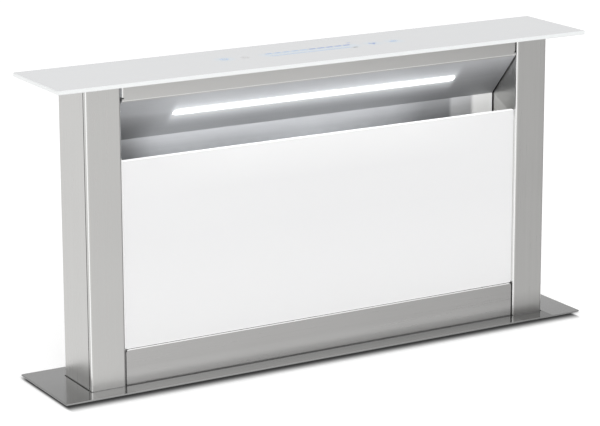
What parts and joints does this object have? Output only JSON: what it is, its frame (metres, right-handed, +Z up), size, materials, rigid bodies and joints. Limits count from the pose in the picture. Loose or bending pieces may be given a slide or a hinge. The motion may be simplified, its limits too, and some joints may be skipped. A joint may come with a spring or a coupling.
{
  "type": "downdraft vent",
  "caption": "Slim worktop extractor tower with a white glass top, lit intake slot, hinged glass front and grease filters, sliding down through a flat steel plate",
  "frame": {"origin": "centre of the worktop cut-out, level with the worktop's upper surface", "axes": "+X along the worktop to the right of the cook, +Y to the back, +Z up, the way the tower rises"},
  "size_m": [0.6, 0.106, 0.3688],
  "materials": {
    "brushed_steel": "brushed, satin",
    "galvanised_steel": "galvanised, dull",
    "zinc_screw": "zinc plated",
    "white_glass": "back-painted white, polished edges",
    "aluminium": "satin",
    "filter_mesh": "expanded and knitted mesh",
    "light_lens": "frosted, lit from behind",
    "circuit_board": "solder mask",
    "black_plastic": "moulded, fine grain",
    "black_cable": "extruded",
    "grey_ribbon": "flat cable",
    "white_nylon": "moulded",
    "black_rubber": "matt",
    "dark_magnet": "nickel-dark casing"
  },
  "bodies": {
    "worktop_frame": {"base_plate": "brushed_steel", "plate_gasket": "black_rubber", "guide_frame": "galvanised_steel", "wiper_seal": "black_rubber", "left_guide_shoe": "white_nylon", "right_guide_shoe": "white_nylon", "left_clamp_bracket": "galvanised_steel", "right_clamp_bracket": "galvanised_steel", "left_front_clamp_screw": "zinc_screw", "left_rear_clamp_screw": "zinc_screw", "right_front_clamp_screw": "zinc_screw", "right_rear_clamp_screw": "zinc_screw"},
    "tower": {"glass_top": "white_glass", "front_bond_strip": "black_rubber", "rear_bond_strip": "black_rubber", "glass_carrier": "galvanised_steel", "touch_board_tray": "black_plastic", "touch_board": "circuit_board", "hood_liner": "brushed_steel", "led_lens": "light_lens", "led_board": "circuit_board", "led_housing": "aluminium", "led_driver": "black_plastic", "supply_cable": "black_cable", "supply_plug": "black_plastic", "cable_grommet": "black_rubber", "ribbon_cable": "grey_ribbon", "rear_panel": "brushed_steel", "bottom_strip": "brushed_steel", "grease_tray": "brushed_steel", "lift_crossbar": "galvanised_steel", "left_post": "galvanised_steel", "right_post": "galvanised_steel", "left_column_cover": "brushed_steel", "right_column_cover": "brushed_steel", "left_side_panel": "brushed_steel", "right_side_panel": "brushed_steel", "left_magnet_catch": "dark_magnet", "right_magnet_catch": "dark_magnet", "left_strip_bracket": "galvanised_steel", "right_strip_bracket": "galvanised_steel", "left_filter_frame": "aluminium", "right_filter_frame": "aluminium", "left_filter_screen": "filter_mesh", "right_filter_screen": "filter_mesh", "left_filter_mesh": "filter_mesh", "right_filter_mesh": "filter_mesh"},
    "front_panel": {"front_glass": "white_glass", "front_panel_pan": "brushed_steel", "left_hinge_pin": "zinc_screw", "right_hinge_pin": "zinc_screw"},
    "left_latch": {"left_filter_latch": "black_plastic"},
    "right_latch": {"right_filter_latch": "black_plastic"}
  },
  "joints": [
    {"name": "lift", "type": "slide", "parent": "worktop_frame", "child": "tower", "axis": [0, 0, 1], "range_m": [-0.2979, 0]},
    {"name": "front_panel_tilt", "type": "hinge", "parent": "tower", "child": "front_panel", "pos_m": [0, -0.0229, 0.0466], "axis": [1, 0, 0], "range_deg": [0, 75]},
    {"name": "left_latch_slide", "type": "slide", "parent": "tower", "child": "left_latch", "axis": [0, -0.1422, -0.9898], "range_m": [0, 0.006], "stiffness_N_per_m": 200, "springref_m": -0.006},
    {"name": "right_latch_slide", "type": "slide", "parent": "tower", "child": "right_latch", "axis": [0, -0.1422, -0.9898], "range_m": [0, 0.006], "stiffness_N_per_m": 200, "springref_m": -0.006}
  ]
}
